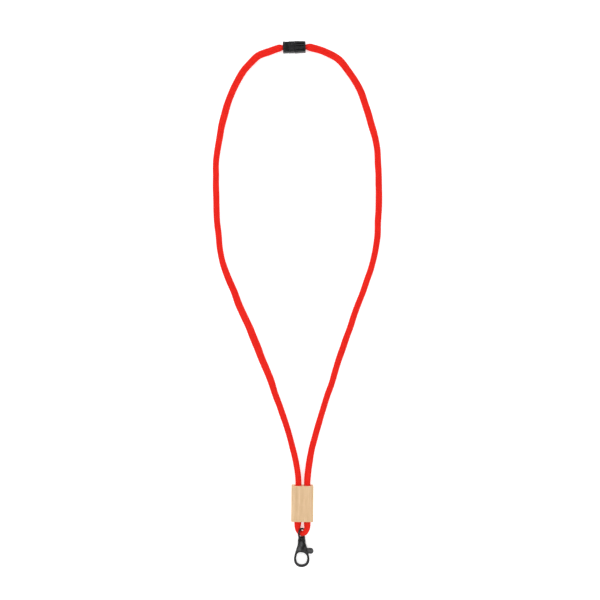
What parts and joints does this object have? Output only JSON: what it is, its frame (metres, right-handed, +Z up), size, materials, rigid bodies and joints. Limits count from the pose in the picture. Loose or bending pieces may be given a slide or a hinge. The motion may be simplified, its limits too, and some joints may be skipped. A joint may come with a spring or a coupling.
{
  "type": "lanyard",
  "caption": "Neck lanyard: a soft red round cord loop with a black breakaway clasp, a pale wood block drilled for both cord legs, and a black swivel trigger hook.",
  "frame": {"origin": "middle of the outline of the lanyard as it lies flat, on the surface it lies on", "axes": "+Y from the hook to the breakaway clasp, +Z up from the surface, +X to the right seen from above with the clasp at the top"},
  "size_m": [0.1608, 0.4987, 0.012],
  "materials": {
    "cord": "soft braided polyester, low sheen",
    "clasp_plastic": "moulded black, satin",
    "crimp_steel": "plain",
    "wood": "sanded pale wood, straight grain, unvarnished",
    "hook_metal": "black coated die cast zinc, satin",
    "spring_steel": "drawn wire"
  },
  "bodies": {
    "loop": {"cord": "cord", "socket_half": "clasp_plastic", "crimp_right": "crimp_steel"},
    "plug": {"plug_half": "clasp_plastic", "plug_cap": "clasp_plastic", "crimp_left": "crimp_steel"},
    "block": {"wood_block": "wood"},
    "eye": {"swivel_eye": "hook_metal"},
    "hook": {"hook_body": "hook_metal", "gate_pin": "hook_metal", "gate_spring": "spring_steel"},
    "gate": {"gate": "hook_metal"}
  },
  "joints": [
    {"name": "breakaway_pull", "type": "slide", "parent": "loop", "child": "plug", "axis": [-0.9997, -0.0262, 0], "range_m": [0, 0.006], "deforming": ["cord"]},
    {"name": "block_slide", "type": "slide", "parent": "loop", "child": "block", "axis": [0.0096, 1, 0], "range_m": [-0.001, 0.006]},
    {"name": "eye_swing", "type": "hinge", "parent": "loop", "child": "eye", "pos_m": [0.00365, -0.2178, 0.0051], "axis": [0.7071, -0.0616, 0.7044], "range_deg": [-70, 70]},
    {"name": "hook_swivel", "type": "hinge", "parent": "eye", "child": "hook", "pos_m": [0.00365, -0.22607, 0.00438], "axis": [0, 0.9962, 0.0872], "continuous": true},
    {"name": "gate_press", "type": "hinge", "parent": "hook", "child": "gate", "pos_m": [0.00485, -0.23264, 0.0038], "axis": [0, 0.0872, -0.9962], "range_deg": [0, 28], "stiffness_Nm_per_rad": 0.02, "springref_deg": -20.05, "deforming": ["gate_spring"]}
  ]
}
